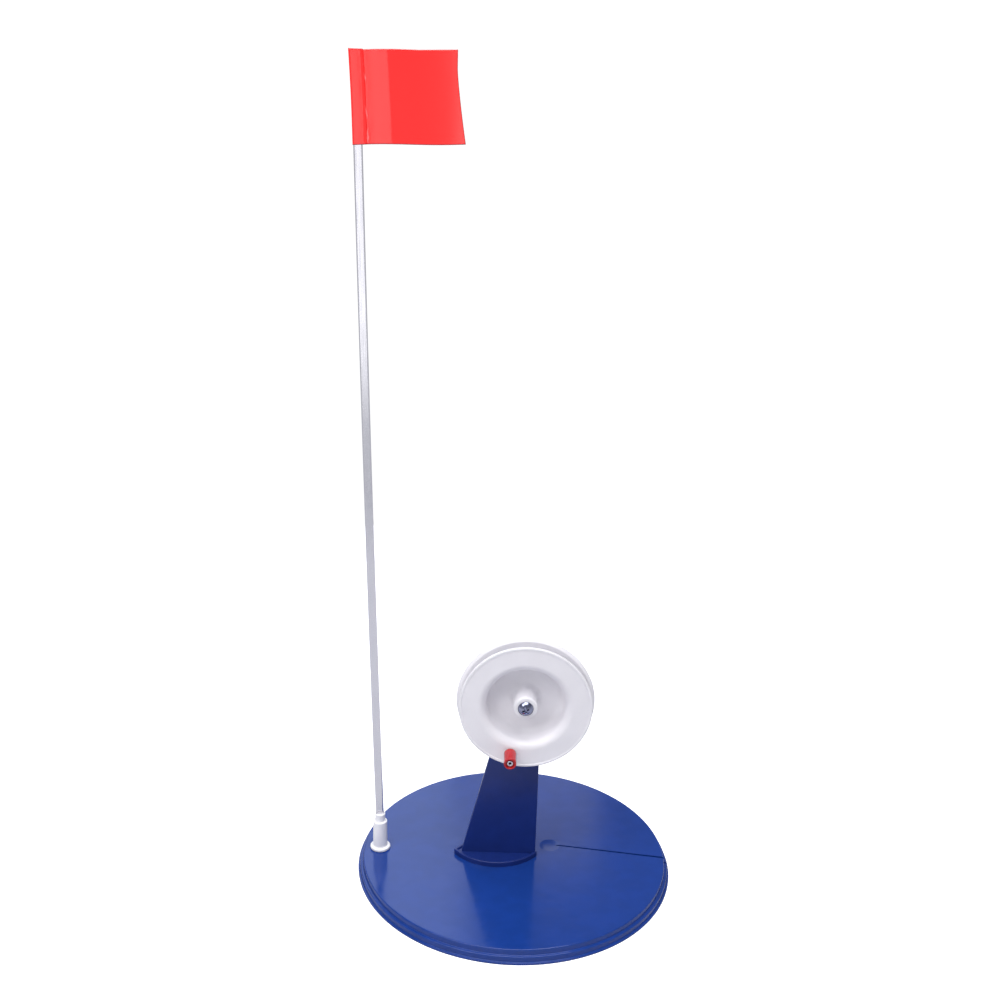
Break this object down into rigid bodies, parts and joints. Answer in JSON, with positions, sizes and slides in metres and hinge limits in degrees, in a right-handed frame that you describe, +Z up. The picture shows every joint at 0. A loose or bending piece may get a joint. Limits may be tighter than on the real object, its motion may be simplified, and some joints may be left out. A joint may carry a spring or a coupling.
{
  "type": "ice fishing tip-up",
  "caption": "Ice fishing tip-up: round hole cover with a slit, upright stand, line reel with crank knob, and a signal flag on a flat spring strip in a swivelling socket.",
  "frame": {"origin": "centre of the round base, on the floor", "axes": "+Z up, +X to the right of a person who faces the reel, -Y towards that person"},
  "size_m": [0.2, 0.2, 0.4915],
  "materials": {
    "blue_plastic": "gloss royal blue moulded polypropylene",
    "stand_plastic": "satin dark blue moulded polypropylene",
    "white_plastic": "satin white moulded plastic",
    "socket_plastic": "satin white moulded polyethylene",
    "washer_plastic": "natural nylon",
    "zinc_steel": "bright zinc plate",
    "rivet_steel": "nickel plate",
    "red_plastic": "gloss red tube",
    "spring_steel": "polished spring steel strip",
    "red_film": "glossy coated red film"
  },
  "bodies": {
    "base": {"base_disc": "blue_plastic", "stand": "stand_plastic", "reel_washer": "washer_plastic", "hub_screw": "zinc_steel"},
    "reel": {"reel_spool": "white_plastic", "knob_rivet": "rivet_steel"},
    "knob": {"knob_sleeve": "red_plastic"},
    "flag_mount": {"flag_socket": "socket_plastic", "spring_strip_1": "spring_steel"},
    "strip_2": {"spring_strip_2": "spring_steel"},
    "strip_3": {"spring_strip_3": "spring_steel"},
    "strip_4": {"spring_strip_4": "spring_steel"},
    "strip_5": {"spring_strip_5": "spring_steel"},
    "strip_6": {"spring_strip_6": "spring_steel"},
    "strip_7": {"spring_strip_7": "spring_steel"},
    "strip_8": {"spring_strip_8": "spring_steel"},
    "strip_9": {"spring_strip_9": "spring_steel"},
    "strip_10": {"spring_strip_10": "spring_steel"},
    "strip_11": {"spring_strip_11": "spring_steel"},
    "flag_end": {"spring_strip_12": "spring_steel", "flag": "red_film"}
  },
  "joints": [
    {"name": "reel_spin", "type": "hinge", "parent": "base", "child": "reel", "pos_m": [0.0031, -0.0157, 0.1266], "axis": [0, 1, 0], "continuous": true},
    {"name": "knob_spin", "type": "hinge", "parent": "reel", "child": "knob", "pos_m": [-0.00513, -0.03075, 0.09547], "axis": [0, 1, 0], "continuous": true},
    {"name": "flag_swivel", "type": "hinge", "parent": "base", "child": "flag_mount", "pos_m": [-0.0864, 0, 0.0085], "axis": [0, 0, 1], "continuous": true},
    {"name": "strip_bend_1", "type": "hinge", "parent": "flag_mount", "child": "strip_2", "pos_m": [-0.08776, 0, 0.07109], "axis": [0.9995, 0, 0.0304], "range_deg": [-2.75, 2.75]},
    {"name": "strip_bend_2", "type": "hinge", "parent": "strip_2", "child": "strip_3", "pos_m": [-0.08886, 0, 0.10818], "axis": [0.9996, 0, 0.0287], "range_deg": [-4.12, 4.12]},
    {"name": "strip_bend_3", "type": "hinge", "parent": "strip_3", "child": "strip_4", "pos_m": [-0.08989, 0, 0.14527], "axis": [0.9996, 0, 0.027], "range_deg": [-8.25, 8.25]},
    {"name": "strip_bend_4", "type": "hinge", "parent": "strip_4", "child": "strip_5", "pos_m": [-0.09086, 0, 0.18236], "axis": [0.9997, 0, 0.0252], "range_deg": [-16.5, 16.5]},
    {"name": "strip_bend_5", "type": "hinge", "parent": "strip_5", "child": "strip_6", "pos_m": [-0.09176, 0, 0.21946], "axis": [0.9997, 0, 0.0235], "range_deg": [-24.75, 24.75]},
    {"name": "flag_bend", "type": "hinge", "parent": "strip_6", "child": "strip_7", "pos_m": [-0.0926, 0, 0.25655], "axis": [0.9998, 0, 0.0217], "range_deg": [-27.5, 27.5], "stiffness_Nm_per_rad": 1.5},
    {"name": "strip_bend_7", "type": "hinge", "parent": "strip_7", "child": "strip_8", "pos_m": [-0.09338, 0, 0.29364], "axis": [0.9998, 0, 0.02], "range_deg": [-27.5, 27.5]},
    {"name": "strip_bend_8", "type": "hinge", "parent": "strip_8", "child": "strip_9", "pos_m": [-0.09409, 0, 0.33073], "axis": [0.9998, 0, 0.0182], "range_deg": [-27.5, 27.5]},
    {"name": "strip_bend_9", "type": "hinge", "parent": "strip_9", "child": "strip_10", "pos_m": [-0.09473, 0, 0.36782], "axis": [0.9999, 0, 0.0165], "range_deg": [-22, 22]},
    {"name": "strip_bend_10", "type": "hinge", "parent": "strip_10", "child": "strip_11", "pos_m": [-0.09531, 0, 0.40491], "axis": [0.9999, 0, 0.0148], "range_deg": [-13.75, 13.75]},
    {"name": "strip_bend_11", "type": "hinge", "parent": "strip_11", "child": "flag_end", "pos_m": [-0.09582, 0, 0.442], "axis": [0.9999, 0, 0.013], "range_deg": [-5.5, 5.5]}
  ],
  "couplings": [
    {"joint": "strip_bend_1", "follows": "flag_bend", "ratio": 0.1},
    {"joint": "strip_bend_2", "follows": "flag_bend", "ratio": 0.15},
    {"joint": "strip_bend_3", "follows": "flag_bend", "ratio": 0.3},
    {"joint": "strip_bend_4", "follows": "flag_bend", "ratio": 0.6},
    {"joint": "strip_bend_5", "follows": "flag_bend", "ratio": 0.9},
    {"joint": "strip_bend_7", "follows": "flag_bend", "ratio": 1},
    {"joint": "strip_bend_8", "follows": "flag_bend", "ratio": 1},
    {"joint": "strip_bend_9", "follows": "flag_bend", "ratio": 0.8},
    {"joint": "strip_bend_10", "follows": "flag_bend", "ratio": 0.5},
    {"joint": "strip_bend_11", "follows": "flag_bend", "ratio": 0.2}
  ]
}
